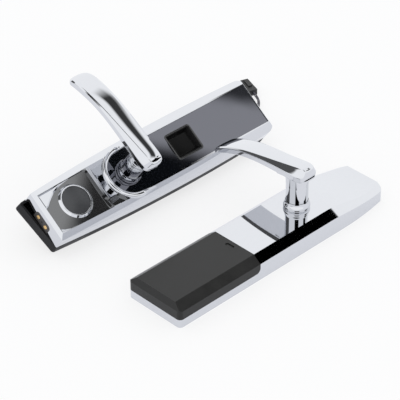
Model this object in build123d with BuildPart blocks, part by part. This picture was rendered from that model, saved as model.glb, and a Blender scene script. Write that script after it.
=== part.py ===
from build123d import *
import os
from math import atan, cos, degrees, radians, sin, tan

os.makedirs("parts", exist_ok=True)

# Sizes in millimetres. The row frame has +X along both long plates, +Z up from the surface they lie on,
# and its origin on the back of the inside half under its lever axis.

# Shared sizes
length = 290.0            # long side of either half
half_width = 35.0         # half the greatest width
wall = 3.0                # cast wall
run_gap = 0.3             # radial gap between a turning piece and a fixed one
screw_r = 1.5
screw_head_r = 3.0
screw_head_h = 1.6

# Lever, the same casting on both halves, measured from the face it turns on
neck_r = 11.2
neck_flare_r = 12.0
arm_under = 38.3          # underside of the arm at the hub
arm_top = 51.6            # top of the arm over the axis
arm_fall = 0.155          # slope of the top towards the tip
arm_back = 18.0           # arm behind the turning axis
arm_reach = 105.0         # axis to tip
arm_half = 13.2
arm_draft = 4.0           # sides lean in towards the underside
arm_bevel = 4.5
beak_start = 87.0         # crease where the tip turns down
beak_thick = 8.6
beak_drop = 18.5
tip_thick = 3.0
hub_corner_r = 9.5
tip_corner_r = 8.0
shank_r = 9.0
clip_h = 1.5
clip_r = 12.0
groove_r = 8.0
spindle_side = 8.0
grub_r = 2.5
grub_len = 5.0
grub_height = 12.0
bead_r = 13.4
bead_foot_r = 12.5
bead_h = 9.0

# Return springs, square wire
spring_wire = 1.6
spring_r = 13.0
spring_pitch = 2.4
spring_turns = 2.5

# Inside half
rear_foot = 97.0          # lever axis to the plain end
rear_head = length - rear_foot
rear_height = 25.4
facet_in = 9.0            # bevel along each long edge
facet_down = 7.0
level_end = 12.0          # where the level top ends beyond the lever axis
tail_mid = 50.0
tail_mid_top = 21.2
tail_mid_in = 7.0
tail_mid_down = 5.2
tail_top = 17.0           # top at the plain end
tail_down = 5.6
taper_start = 32.0
foot_half = half_width - 6.5
foot_corner_r = 7.0
head_corner_r = wall + 1.5
tray_height = 8.8         # chrome rim under the battery cover
cover_length = 106.4
cover_gap = 0.3
cover_corner_r = 5.0
cover_end_in = 2.7
cover_wall = 2.0
plate_t = 2.0
skin = 4.0

# Outside half, heights measured from its back face
front_foot = 106.0        # lever axis to the foot end of the chrome case
front_head = length - front_foot
base_h = 11.0
base_draft = 0.5
base_toe_far = 6.8        # black housing past the chrome at the foot, on the far and near sides
base_toe_near = 0.3
base_wall = 2.5
base_floor = 3.5
base_foot_half = half_width - 6.6
base_head_half = half_width - 2.0
base_foot_r = 3.0
base_head_r = 8.0
case_half = half_width - 0.6
case_foot_half = half_width - 7.2
case_head_half = half_width - 2.6
case_foot_r = 1.2
case_head_r = 7.0
swell_u = 44.0            # where the long sides stand widest
band_low = 25.0           # lower edge of the sloped side band
rim_h = 32.0
rim_half = half_width - 10.0
rim_foot_half = half_width - 12.6
rim_head_half = half_width - 10.8
cavity_h = 24.0
panel_half = half_width - 11.5
panel_top = 31.2
panel_t = 3.0
panel_end = front_head - 4.5
hoop_w = 5.5              # raised hoop round the lower end of the reader panel
hoop_h = 33.4
land_u = -40.0            # chrome land between the key panel and the hoop
land_v = -14.0
land_r = 6.0
key_panel_r = 4.0
key_panel_top = 29.5
key_panel_t = 2.5
key_u = -69.0
key_ring_r = 18.2
key_ring_top_r = 16.3
key_cap_r = 14.75
key_ring_h = 2.0
barrel_r = 8.5
plug_r = 6.0
well_u0 = 60.3
well_u1 = 91.1
well_half = 13.35
well_bow = 2.4
well_lip = 0.5
well_bottom = 22.0
well_depth = 5.0
window_t = 2.0
pin_v = 6.0
pin_r = 2.3
block_half = 11.2
block_top = 21.5
block_corner_r = 4.0
block_proud = 0.3
block_depth = 6.0
post_u = (-80.0, 90.0)
post_r = 5.0
post_len = 22.0
post_bore_r = 2.5
post_bore_depth = 18.0
spigot_r = 3.0
grommet_u = 120.0

# The outside half leans on the ends of its posts and on its long lower edge
lean = degrees(atan(post_len / (half_width - post_r)))
front_x = -96.6
front_edge_y = 127.9
front = Plane(
    origin=(
        front_x,
        front_edge_y + half_width * cos(radians(lean)),
        half_width * sin(radians(lean)),
    ),
    x_dir=(1, 0, 0),
    z_dir=(0, -sin(radians(lean)), cos(radians(lean))),
)
rear = Plane.XY
front_seat = front.offset(panel_top)
rear_seat = rear.offset(rear_height)


# Plane across a half at distance u along it, local x across and local y outwards
def across(half, u):
    return Plane(
        origin=half.from_local_coords((u, 0, 0)), x_dir=half.y_dir, z_dir=half.x_dir
    )


# Plane along the middle of a half, local x along it and local y outwards
def along(half):
    return Plane(origin=half.origin, x_dir=half.x_dir, z_dir=-half.y_dir)


# Lever casting: turned neck and shank, bevelled arm falling towards the tip, square socket, grub screw hole
def lever_casting(seat, shank_len, clip_top):
    with BuildPart() as lever:
        with BuildSketch(seat.offset(arm_top + arm_bevel)) as plan:
            with Locations((0, -arm_back)):
                Rectangle(2 * arm_half, arm_back + arm_reach, align=(Align.CENTER, Align.MIN))
            fillet(plan.vertices().group_by(Axis.Y)[0], hub_corner_r)
            fillet(plan.vertices().group_by(Axis.Y)[-1], tip_corner_r)
        extrude(amount=arm_top, dir=-seat.z_dir, taper=arm_draft)
        side = Plane(origin=seat.origin, x_dir=seat.y_dir, z_dir=seat.x_dir)
        tip = arm_reach + 1
        back = -arm_back - 1
        with BuildSketch(side):
            Polygon(
                (back, arm_top - back * arm_fall),
                (tip, arm_top - tip * arm_fall),
                (tip, 2 * arm_top),
                (back, 2 * arm_top),
                align=None,
            )
        extrude(amount=2 * arm_half, both=True, mode=Mode.SUBTRACT)
        crown = lever.faces().filter_by(GeomType.PLANE).sort_by(lambda f: f.normal_at().dot(seat.z_dir))[-1]
        chamfer(crown.edges(), arm_bevel)
        beak_top = arm_top - beak_start * arm_fall
        with BuildSketch(side):
            with BuildLine():
                Line((back, arm_top - back * arm_fall), (beak_start, beak_top))
                beak = ThreePointArc(
                    (beak_start, beak_top),
                    ((beak_start + tip) * 0.5 + 2.5, beak_top - beak_drop * 0.36),
                    (tip, beak_top - beak_drop),
                )
                Line(beak @ 1, (tip, beak_top - beak_drop - tip_thick))
                under = ThreePointArc(
                    (tip, beak_top - beak_drop - tip_thick),
                    ((beak_start + tip) * 0.5 + 0.8, beak_top - beak_thick - beak_drop * 0.26),
                    (beak_start, beak_top - beak_thick),
                )
                Polyline(under @ 1, (3, arm_under), (back, arm_under), (back, arm_top - back * arm_fall))
            make_face()
        extrude(amount=2 * arm_half, both=True, mode=Mode.INTERSECT)
        with BuildSketch(side):
            with BuildLine():
                Polyline((0, 0), (neck_r, 0))
                Line((neck_r, 0), (neck_r, arm_under - 12))
                Line((neck_r, arm_under - 12), (neck_flare_r, arm_under + 3))
                Polyline((neck_flare_r, arm_under + 3), (0, arm_under + 3), (0, 0))
            make_face()
        revolve(axis=Axis(seat.origin, seat.z_dir))
        with BuildSketch(seat):
            Circle(shank_r)
        extrude(amount=-shank_len)
        with BuildSketch(seat.offset(-clip_top)):
            Circle(shank_r + 1)
            Circle(groove_r, mode=Mode.SUBTRACT)
        extrude(amount=-clip_h, mode=Mode.SUBTRACT)
        with BuildSketch(seat.offset(-shank_len)):
            Rectangle(spindle_side, spindle_side)
        extrude(amount=shank_len - 8, mode=Mode.SUBTRACT)
        screw_face = Plane(
            origin=seat.from_local_coords((neck_r, 0, grub_height)), x_dir=seat.y_dir, z_dir=seat.x_dir
        )
        with BuildSketch(screw_face):
            Circle(grub_r)
        extrude(amount=-grub_len - 1, mode=Mode.SUBTRACT)
    return lever.part


# Grub screw with a hexagon socket, sunk in the side of the neck
def grub_screw(seat):
    with BuildPart() as grub:
        screw_face = Plane(
            origin=seat.from_local_coords((neck_r - grub_len - 1, 0, grub_height)),
            x_dir=seat.y_dir,
            z_dir=seat.x_dir,
        )
        with BuildSketch(screw_face):
            Circle(grub_r)
        extrude(amount=grub_len)
        with BuildSketch(screw_face.offset(grub_len)):
            RegularPolygon(1.3, 6)
        extrude(amount=-2.2, mode=Mode.SUBTRACT)
    return grub.part


# Spring clip in the groove of the shank
def shank_clip(seat, clip_top):
    with BuildPart() as clip:
        with BuildSketch(seat.offset(-clip_top)):
            Circle(clip_r)
            Circle(groove_r, mode=Mode.SUBTRACT)
            with Locations((-clip_r, 0)):
                Rectangle(2 * clip_r, 6, mode=Mode.SUBTRACT)
        extrude(amount=-clip_h)
    return clip.part


# Bead ring round the foot of the neck
def bead_ring(seat):
    with BuildPart() as bead:
        with BuildSketch(along(seat)):
            inner = neck_r + run_gap
            with BuildLine():
                Line((inner, 0), (bead_foot_r, 0))
                flare = Spline(
                    (bead_foot_r, 0),
                    (bead_r, bead_h * 0.36),
                    (bead_foot_r, bead_h * 0.68),
                    (inner + 0.35, bead_h),
                )
                Polyline(flare @ 1, (inner, bead_h), (inner, 0))
            make_face()
        revolve(axis=Axis(seat.origin, seat.z_dir))
    return bead.part


# Torsion spring of square wire standing on a floor
def return_spring(floor):
    with BuildPart() as spring:
        with BuildLine() as coil:
            Helix(
                spring_pitch,
                spring_pitch * spring_turns,
                spring_r,
                center=floor.offset(spring_wire * 0.5).origin,
                direction=floor.z_dir,
            )
        start = coil.line
        with BuildSketch(Plane(origin=start @ 0, x_dir=floor.z_dir, z_dir=start % 0)):
            Rectangle(spring_wire, spring_wire)
        sweep(path=coil.line, is_frenet=True)
    return spring.part


# Countersunk screw from a back face, head flush
def countersunk(half, spots, depth):
    with BuildPart() as screws:
        for u, v in spots:
            spot = Plane(half.from_local_coords((u, v, 0)), x_dir=half.x_dir, z_dir=half.z_dir)
            with BuildSketch(along(spot)):
                Polygon(
                    (0, 0),
                    (screw_head_r, 0),
                    (screw_r, screw_head_h),
                    (screw_r, depth),
                    (0, depth),
                    align=None,
                )
            revolve(axis=Axis(spot.origin, spot.z_dir))
            with BuildSketch(spot):
                Rectangle(3.2, 0.8)
                Rectangle(0.8, 3.2)
            extrude(amount=1.0, mode=Mode.SUBTRACT)
    return screws.part


# Plan of the inside half, drawn in by an inset
def rear_plan(inset):
    head = inset - rear_head
    half = half_width - inset
    foot = rear_foot - inset
    with BuildSketch() as plan:
        with BuildLine():
            for side in (-1, 1):
                edge = Line((head, side * half), (taper_start, side * half))
                TangentArc(edge @ 1, (foot, side * (foot_half - inset)), tangent=(1, 0))
            Line((head, half), (head, -half))
            Line((foot, foot_half - inset), (foot, inset - foot_half))
        make_face()
        fillet(plan.vertices().group_by(Axis.X)[-1], foot_corner_r - inset)
        fillet(plan.vertices().group_by(Axis.X)[0], head_corner_r - inset)
    return plan.sketch


# Corners of a roof section: level top, a bevel along each side, sides standing past the plan
def roof_points(half, top, bevel_in, bevel_down):
    outer = half + bevel_in
    eave = top - 2 * bevel_down
    return (
        (bevel_in - half, top),
        (half - bevel_in, top),
        (outer, eave),
        (outer, -1),
        (-outer, -1),
        (-outer, eave),
    )


cover_x = cover_length - rear_head
case_x = cover_x + wall
head_screw = (case_x + 5.6, half_width - 8)
foot_screw = (rear_foot - 17, 15)
rear_screws_at = [(u, v * side) for u, v in (head_screw, foot_screw) for side in (1, -1)]
rear_boss_r = 4.5
rear_board_z = 12.0
rear_board_x0 = case_x + 6.6
rear_board_x1 = -21.0
rear_board_half = half_width - 14.0
board_t = 1.6
board_post_r = 2.5
rear_post_v = rear_board_half - 5.0
rear_posts_at = [(u, v) for u in (rear_board_x0 + 7, rear_board_x1 - 7) for v in (rear_post_v, -rear_post_v)]
rear_void = rear_height - skin
tail_void = tail_top - wall
tail_void_x = 30.0

# Seam between the battery cover and the chrome case, seen from the side
with BuildSketch() as cover_seam:
    with BuildLine():
        Polyline(
            (-rear_head - 10, tray_height),
            (cover_x, tray_height),
            (cover_x, rear_height + 10),
            (-rear_head - 10, rear_height + 10),
            close=True,
        )
    seam = make_face()
    fillet(seam.vertices().sort_by_distance((cover_x, tray_height))[0], cover_corner_r)

# Chrome case of the inside half, a thin casting open at the back and under the battery cover
with BuildPart() as rear_case:
    with BuildSketch(across(rear, -rear_head)):
        Polygon(*roof_points(half_width, rear_height, facet_in, facet_down), align=None)
    extrude(amount=rear_head + level_end)
    for x, half, top, bevel_in, bevel_down in (
        (level_end, half_width, rear_height, facet_in, facet_down),
        (level_end + 3, half_width, rear_height, facet_in, facet_down),
        (tail_mid, half_width - 0.5, tail_mid_top, tail_mid_in, tail_mid_down),
        (rear_foot + 1, foot_half, tail_top, facet_in, tail_down),
    ):
        with BuildSketch(across(rear, x)):
            Polygon(*roof_points(half, top, bevel_in, bevel_down), align=None)
    loft()
    with BuildSketch():
        add(rear_plan(0))
    extrude(amount=rear_height + 5, mode=Mode.INTERSECT)
    with BuildSketch(Plane.XZ):
        add(cover_seam.sketch)
    extrude(amount=60, both=True, mode=Mode.SUBTRACT)
    with BuildSketch():
        add(rear_plan(wall))
    extrude(amount=tray_height + 0.2, mode=Mode.SUBTRACT)
    with BuildSketch(Plane.XY.offset(tray_height)):
        with Locations((case_x, 0)):
            Rectangle(level_end + 1 - case_x, 2 * (half_width - 12), align=(Align.MIN, Align.CENTER))
    extrude(amount=rear_void - tray_height, mode=Mode.SUBTRACT)
    with BuildSketch(Plane.XY.offset(tray_height)):
        with Locations((tail_void_x, 0)):
            Rectangle(
                rear_foot - 10 - tail_void_x, 2 * (foot_half - 8.5), align=(Align.MIN, Align.CENTER)
            )
    extrude(amount=tail_void - tray_height, mode=Mode.SUBTRACT)
    with BuildSketch(Plane.XY.offset(plate_t)):
        with Locations(*rear_screws_at):
            Circle(rear_boss_r)
    extrude(amount=tail_void - plate_t + 1)
    with BuildSketch(Plane.XY.offset(plate_t)):
        with Locations(*rear_screws_at):
            Circle(screw_r)
    extrude(amount=tray_height - plate_t, mode=Mode.SUBTRACT)
    with BuildSketch(Plane.XY.offset(rear_board_z + board_t)):
        with Locations(*rear_posts_at):
            Circle(board_post_r)
    extrude(amount=rear_void - rear_board_z - board_t + 1)
    with BuildSketch(rear_seat):
        Circle(shank_r + run_gap)
    extrude(amount=-skin - 2, mode=Mode.SUBTRACT)
rear_case.part.label = "rear_case"
export_step(rear_case.part, "parts/rear_case.step")

# Steel back plate inside the rim of the case, with bolt holes, spindle hole and lead window
bolt_at = ((-post_u[0], 0), (-post_u[1], 0))
bolt_hole_r = 3.3
spindle_hole_r = 10.5
plate_fit = 0.2
with BuildPart() as rear_plate:
    with BuildSketch():
        add(rear_plan(wall + plate_fit))
        Circle(spindle_hole_r, mode=Mode.SUBTRACT)
        with Locations(*bolt_at):
            Circle(bolt_hole_r, mode=Mode.SUBTRACT)
        with Locations((bolt_at[1][0] - 20, 0)):
            SlotOverall(22, 12, mode=Mode.SUBTRACT)
    extrude(amount=plate_t)
    for spot in rear_screws_at:
        with BuildSketch(along(Plane((spot[0], spot[1], 0)))):
            Polygon(
                (0, 0),
                (screw_head_r, 0),
                (screw_r, screw_head_h),
                (screw_r, plate_t),
                (0, plate_t),
                align=None,
            )
        revolve(axis=Axis((spot[0], spot[1], 0), (0, 0, 1)), mode=Mode.SUBTRACT)
rear_plate.part.label = "rear_plate"
export_step(rear_plate.part, "parts/rear_plate.step")

rear_screws = countersunk(rear, rear_screws_at, tray_height - 1.0)
rear_screws.label = "rear_screws"
export_step(rear_screws, "parts/rear_screws.step")

# Battery cover, a moulded shell with bevelled edges and a thumb recess at its inner end
with BuildPart() as battery_cover:
    with BuildSketch(across(rear, -rear_head)):
        Polygon(*roof_points(half_width, rear_height, facet_in, facet_down), align=None)
    extrude(amount=cover_length - cover_gap)
    with BuildSketch():
        add(rear_plan(0))
    extrude(amount=rear_height + 5, mode=Mode.INTERSECT)
    with BuildSketch(Plane.XZ):
        with BuildLine():
            Polyline(
                (-rear_head, tray_height),
                (cover_x - cover_gap, tray_height),
                (cover_x - cover_gap, rear_height),
                (cover_end_in - rear_head, rear_height),
                (-rear_head, rear_height - facet_down),
                close=True,
            )
        shape = make_face()
        inner_end = shape.vertices().sort_by_distance((cover_x - cover_gap, tray_height))[0]
        fillet(inner_end, cover_corner_r + cover_gap)
    extrude(amount=60, both=True, mode=Mode.INTERSECT)
    hollow = rear.offset(rear_height - cover_wall)
    with BuildSketch(across(hollow, -rear_head + cover_wall + cover_end_in)):
        Polygon(
            (-(half_width - facet_in) + 0.8, 0),
            (half_width - facet_in - 0.8, 0),
            (half_width - cover_wall, -facet_down - 0.2),
            (half_width - cover_wall, -30),
            (-half_width + cover_wall, -30),
            (-half_width + cover_wall, -facet_down - 0.2),
            align=None,
        )
    extrude(amount=cover_length, mode=Mode.SUBTRACT)
    with BuildSketch(rear_seat):
        with Locations((cover_x - 6.5, 0)):
            SlotOverall(10.5, 4.2, rotation=90)
    extrude(amount=-0.9, mode=Mode.SUBTRACT)
battery_cover.part.label = "battery_cover"
export_step(battery_cover.part, "parts/battery_cover.step")

# Battery holder standing on the back plate, four bays side by side
cell_r = 7.1
cell_len = 49.0
nub_len = 1.5
spring_len = 4.0
leaf_t = 0.5
holder_wall = 2.0
holder_side = 1.4
holder_gap = 1.2
bay_x = 15.0 - rear_head
bay_len = spring_len + cell_len + nub_len + leaf_t
holder_half = half_width - wall - holder_gap - holder_side
cell_pitch = (holder_half - 0.2) * 0.5
cell_rows = [cell_pitch * k for k in (-1.5, -0.5, 0.5, 1.5)]
with BuildPart() as battery_holder:
    with BuildSketch(Plane.XY.offset(plate_t)):
        with Locations((bay_x - holder_wall, 0)):
            Rectangle(
                bay_len + 2 * holder_wall,
                2 * (holder_half + holder_side),
                align=(Align.MIN, Align.CENTER),
            )
    extrude(amount=2 + 1.5 * cell_r)
    with BuildSketch(Plane.XY.offset(plate_t + 2)):
        with Locations((bay_x, 0)):
            Rectangle(bay_len, 2 * holder_half, align=(Align.MIN, Align.CENTER))
    extrude(amount=40, mode=Mode.SUBTRACT)
battery_holder.part.label = "battery_holder"
export_step(battery_holder.part, "parts/battery_holder.step")

cell_z = plate_t + 2 + cell_r
with BuildPart() as battery_cells:
    for y in cell_rows:
        with BuildSketch(Plane(origin=(bay_x + spring_len, y, cell_z), x_dir=(0, 1, 0), z_dir=(1, 0, 0))):
            Circle(cell_r)
        extrude(amount=cell_len)
        with BuildSketch(
            Plane(origin=(bay_x + spring_len + cell_len, y, cell_z), x_dir=(0, 1, 0), z_dir=(1, 0, 0))
        ):
            Circle(2.6)
        extrude(amount=nub_len)
battery_cells.part.label = "battery_cells"
export_step(battery_cells.part, "parts/battery_cells.step")

# Cell contacts: a cone spring at one end of each bay and a leaf at the other
with BuildPart() as battery_contacts:
    for y in cell_rows:
        seat_end = Plane(origin=(bay_x, y, cell_z), x_dir=(0, 1, 0), z_dir=(1, 0, 0))
        with BuildSketch(seat_end):
            Circle(4.5)
        with BuildSketch(seat_end.offset(spring_len)):
            Circle(2.6)
        loft()
        with BuildSketch(seat_end.offset(bay_len - leaf_t)):
            Rectangle(10, 9)
        extrude(amount=leaf_t)
battery_contacts.part.label = "battery_contacts"
export_step(battery_contacts.part, "parts/battery_contacts.step")

# Circuit board under the case roof
with BuildPart() as rear_board:
    with BuildSketch(Plane.XY.offset(rear_board_z)):
        with Locations((rear_board_x0, 0)):
            Rectangle(
                rear_board_x1 - rear_board_x0, 2 * rear_board_half, align=(Align.MIN, Align.CENTER)
            )
    extrude(amount=board_t)
    with BuildSketch(Plane.XY.offset(rear_board_z)):
        with Locations((rear_board_x0 + 9, 0)):
            Rectangle(6, 22)
        with Locations((rear_board_x1 - 12, 6)):
            Rectangle(12, 12)
    extrude(amount=-4)
rear_board.part.label = "rear_board"
export_step(rear_board.part, "parts/rear_board.step")

rear_bead = bead_ring(rear_seat)
rear_bead.label = "rear_bead"
export_step(rear_bead, "parts/rear_bead.step")

rear_shank = rear_height - plate_t - 1.0
rear_clip_top = skin + 0.2
rear_lever = lever_casting(rear_seat, rear_shank, rear_clip_top)
rear_lever.label = "rear_lever"
export_step(rear_lever, "parts/rear_lever.step")

rear_clip = shank_clip(rear_seat, rear_clip_top)
rear_clip.label = "rear_clip"
export_step(rear_clip, "parts/rear_clip.step")

rear_grub = grub_screw(rear_seat)
rear_grub.label = "rear_grub"
export_step(rear_grub, "parts/rear_grub.step")

rear_spring = return_spring(rear.offset(plate_t))
rear_spring.label = "rear_spring"
export_step(rear_spring, "parts/rear_spring.step")

# Plan with bowed long sides between a foot end and a head end, drawn in by an inset
def bowed_plan(near_foot, far_foot, foot_v, mid_v, head_v, foot_r, head_r, inset):
    head = front_head - inset
    near = (near_foot + inset, inset - foot_v)
    far = (far_foot + inset, foot_v - inset)
    with BuildSketch() as plan:
        with BuildLine():
            ThreePointArc(near, (swell_u, inset - mid_v), (head, inset - head_v))
            ThreePointArc(far, (swell_u, mid_v - inset), (head, head_v - inset))
            Line((head, head_v - inset), (head, inset - head_v))
            Line(near, far)
        make_face()
        fillet(plan.vertices().sort_by(Axis.X)[-2:], max(head_r - inset, 0.5))
        fillet(plan.vertices().sort_by(Axis.X)[:2], max(foot_r - inset, 0.5))
    return plan.sketch


# Plan of the black housing
def base_plan(inset):
    return bowed_plan(
        -front_foot - base_toe_near,
        -front_foot - base_toe_far,
        base_foot_half,
        half_width,
        base_head_half,
        base_foot_r,
        base_head_r,
        inset,
    )


# Plan of the chrome case of the outside half
def case_plan(inset):
    return bowed_plan(
        -front_foot, -front_foot, case_foot_half, case_half, case_head_half, case_foot_r, case_head_r, inset
    )


foot_spot = (9 - front_foot, case_foot_half - 9.8)
head_spot = (front_head - 12, case_head_half - 11)
front_screws_at = [(u, v * side) for u, v in (foot_spot, head_spot) for side in (1, -1)]
front_boss_r = 4.0
front_screw_len = 16.0
grommet_r = 5.0
cord_r = 1.8

# Black back housing, a shallow drafted tray
with BuildPart() as front_base:
    with BuildSketch(front):
        add(base_plan(0))
    extrude(amount=base_h, taper=degrees(atan(base_draft / base_h)))
    with BuildSketch(front.offset(base_floor)):
        add(base_plan(base_wall + base_draft))
    extrude(amount=base_h, mode=Mode.SUBTRACT)
    with BuildSketch(front):
        Circle(shank_r + 1.0)
        with Locations((post_u[0], 0), (post_u[1], 0)):
            Circle(spigot_r)
        with Locations((grommet_u, 0)):
            Circle(grommet_r)
    extrude(amount=base_floor, mode=Mode.SUBTRACT)
    for u, v in front_screws_at:
        spot = Plane(front.from_local_coords((u, v, 0)), x_dir=front.x_dir, z_dir=front.z_dir)
        with BuildSketch(along(spot)):
            Polygon(
                (0, 0),
                (screw_head_r, 0),
                (screw_r, screw_head_h),
                (screw_r, base_floor),
                (0, base_floor),
                align=None,
            )
        revolve(axis=Axis(spot.origin, spot.z_dir), mode=Mode.SUBTRACT)
front_base.part.label = "front_base"
export_step(front_base.part, "parts/front_base.step")

# Plan shapes cut into the chrome case
hoop_r = panel_half + hoop_w
with BuildSketch() as reader_shape:
    Circle(panel_half)
    with Locations((0, 0)):
        Rectangle(panel_end, 2 * panel_half, align=(Align.MIN, Align.CENTER))

key_foot_u = -front_foot + 2.8
key_foot_half = rim_foot_half - 0.5
key_tip_half = rim_half - 0.6
with BuildSketch() as land_shape:
    with BuildLine():
        Polyline(
            (land_u, land_v), (0, land_v), (0, 30), (land_u, 30), close=True
        )
    land_face = make_face()
    fillet(land_face.vertices().sort_by_distance((land_u, land_v))[0], land_r)

with BuildSketch() as key_shape:
    Polygon(
        (key_foot_u, -key_foot_half),
        (-8, -key_tip_half),
        (-8, key_tip_half),
        (key_foot_u, key_foot_half),
        align=None,
    )
    Circle(hoop_r, mode=Mode.SUBTRACT)
    add(land_shape.sketch, mode=Mode.SUBTRACT)
    fillet(key_shape.vertices().sort_by_distance((land_u, key_tip_half))[0], key_panel_r)

with BuildSketch() as well_shape:
    with BuildLine():
        Polyline(
            (well_u0, -well_half), (well_u1, -well_half), (well_u1, well_half), (well_u0, well_half)
        )
        ThreePointArc((well_u0, well_half), (well_u0 - well_bow, 0), (well_u0, -well_half))
    well_face = make_face()
    fillet(well_face.vertices(), 1.2)

with BuildSketch() as block_shape:
    with Locations((0, base_h)):
        Rectangle(2 * block_half, block_top - base_h, align=(Align.CENTER, Align.MIN))
    fillet(block_shape.vertices().group_by(Axis.Y)[-1], block_corner_r)

# Chrome front case: upright sides, sloped bands rising to a rim, pockets for both panels, raised hoop
front_board_w = 15.0
front_board_u0 = 24.0
front_board_u1 = front_head - 28.0
front_board_half = 22.0
front_posts_at = [(u, v) for u in (front_board_u0 + 6, front_board_u1 - 6) for v in (18, -18)]
band_in = 8.0
band_over = 2.5
foot_bevel_low = 27.5
head_bow_low = 22.0
with BuildPart() as front_case:
    fall_w = (rim_h - band_low) * band_over
    run_v = band_in * band_over
    for u, half in ((-front_foot - 1, rim_foot_half), (swell_u, rim_half), (front_head + 1, rim_head_half)):
        with BuildSketch(across(front, u)):
            Polygon(
                (-half, rim_h),
                (half, rim_h),
                (half + run_v, rim_h - fall_w),
                (half + run_v, 0),
                (-half - run_v, 0),
                (-half - run_v, rim_h - fall_w),
                align=None,
            )
    loft()
    with BuildSketch(front.offset(base_h)):
        add(case_plan(0))
    extrude(amount=40, mode=Mode.INTERSECT)
    with BuildSketch(along(front)):
        Polygon(
            (-front_foot - 1, foot_bevel_low),
            (-front_foot, foot_bevel_low),
            (-front_foot + 2.4, rim_h),
            (-front_foot + 2.4, 40),
            (-front_foot - 1, 40),
            align=None,
        )
        with BuildLine():
            bow = ThreePointArc(
                (front_head, head_bow_low), (front_head - 1.3, rim_h - 3.5), (panel_end + 0.6, rim_h)
            )
            Polyline(
                bow @ 1,
                (panel_end + 0.6, 40),
                (front_head + 2, 40),
                (front_head + 2, head_bow_low),
                bow @ 0,
            )
        make_face()
    extrude(amount=60, both=True, mode=Mode.SUBTRACT)
    with BuildSketch(front.offset(panel_top - panel_t)):
        Circle(hoop_r)
        with Locations((0, 0)):
            Rectangle(40, 80, align=(Align.MIN, Align.CENTER), mode=Mode.SUBTRACT)
    extrude(amount=hoop_h - panel_top + panel_t)
    hoop_edge = front_case.edges().filter_by(GeomType.CIRCLE).filter_by(
        lambda e: abs(front.to_local_coords(e @ 0.5).Z - hoop_h) < 0.01 and abs(e.radius - hoop_r) < 0.01
    )
    fillet(hoop_edge, 1.2)
    with BuildSketch(front.offset(panel_top - panel_t)):
        add(reader_shape.sketch)
    extrude(amount=20, mode=Mode.SUBTRACT)
    with BuildSketch(front.offset(key_panel_top - key_panel_t)):
        add(key_shape.sketch)
    extrude(amount=20, mode=Mode.SUBTRACT)
    with BuildSketch(front.offset(base_h)):
        add(case_plan(wall))
    extrude(amount=cavity_h - base_h, mode=Mode.SUBTRACT)
    with BuildSketch(front.offset(base_floor)):
        with Locations(*front_screws_at):
            Circle(front_boss_r)
    extrude(amount=cavity_h - base_floor + 1)
    with BuildSketch(front.offset(base_floor)):
        with Locations(*front_screws_at):
            Circle(screw_r)
    extrude(amount=front_screw_len - base_floor, mode=Mode.SUBTRACT)
    with BuildSketch(front.offset(front_board_w + board_t)):
        with Locations(*front_posts_at):
            Circle(board_post_r)
    extrude(amount=cavity_h - front_board_w - board_t + 1)
    with BuildSketch(front.offset(cavity_h - 1)):
        Circle(shank_r + run_gap)
        with Locations((key_u, 0)):
            Circle(barrel_r)
        add(well_shape.sketch)
    extrude(amount=20, mode=Mode.SUBTRACT)
    with BuildSketch(across(front, -front_foot - 1)):
        add(block_shape.sketch)
    extrude(amount=1 + block_depth, mode=Mode.SUBTRACT)
front_case.part.label = "front_case"
export_step(front_case.part, "parts/front_case.step")

# Gloss black reader panel, with the lever hole and the finger opening
with BuildPart() as front_panel:
    with BuildSketch(front_seat):
        add(reader_shape.sketch)
        Circle(shank_r + run_gap, mode=Mode.SUBTRACT)
        add(well_shape.sketch, mode=Mode.SUBTRACT)
    extrude(amount=-panel_t)
front_panel.part.label = "front_panel"
export_step(front_panel.part, "parts/front_panel.step")

# Dark grey key panel, let into its pocket round the key barrel
key_top = front.offset(key_panel_top)
with BuildPart() as key_panel:
    with BuildSketch(key_top):
        add(key_shape.sketch)
        with Locations((key_u, 0)):
            Circle(barrel_r, mode=Mode.SUBTRACT)
    extrude(amount=-key_panel_t)
key_panel.part.label = "key_panel"
export_step(key_panel.part, "parts/key_panel.step")

# Chrome ring round the key cap, a low cone
key_axis = Axis(front.from_local_coords((key_u, 0, 0)), front.z_dir)
key_side = along(Plane(front.from_local_coords((key_u, 0, 0)), x_dir=front.x_dir, z_dir=front.z_dir))
key_ring_bore = key_cap_r + run_gap
with BuildPart() as key_ring:
    with BuildSketch(key_side):
        Polygon(
            (key_ring_bore, key_panel_top),
            (key_ring_r, key_panel_top),
            (key_ring_top_r, key_panel_top + key_ring_h),
            (key_ring_bore, key_panel_top + key_ring_h),
            align=None,
        )
    revolve(axis=key_axis)
    ring_top = key_ring.faces().filter_by(
        lambda f: abs(front.to_local_coords(f.center()).Z - key_panel_top - key_ring_h) < 0.01
    )
    fillet(ring_top.edges(), 0.4)
key_ring.part.label = "key_ring"
export_step(key_ring.part, "parts/key_ring.step")

# Round cap over the key barrel, slightly domed
cap_edge = 1.2
cap_dome = 1.0
with BuildPart() as key_cap:
    with BuildSketch(key_side):
        with BuildLine():
            dome_r = (key_cap_r**2 + cap_dome**2) / (2 * cap_dome)
            Polyline((0, key_panel_top), (key_cap_r, key_panel_top), (key_cap_r, key_panel_top + cap_edge))
            RadiusArc(
                (key_cap_r, key_panel_top + cap_edge), (0, key_panel_top + cap_edge + cap_dome), -dome_r
            )
            Line((0, key_panel_top + cap_edge + cap_dome), (0, key_panel_top))
        make_face()
    revolve(axis=key_axis)
key_cap.part.label = "key_cap"
export_step(key_cap.part, "parts/key_cap.step")

# Barrel of the emergency key cylinder, standing on the housing floor
with BuildPart() as key_barrel:
    with BuildSketch(key_top):
        with Locations((key_u, 0)):
            Circle(barrel_r)
            Circle(plug_r + run_gap, mode=Mode.SUBTRACT)
    extrude(amount=base_floor - key_panel_top)
key_barrel.part.label = "key_barrel"
export_step(key_barrel.part, "parts/key_barrel.step")

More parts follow.
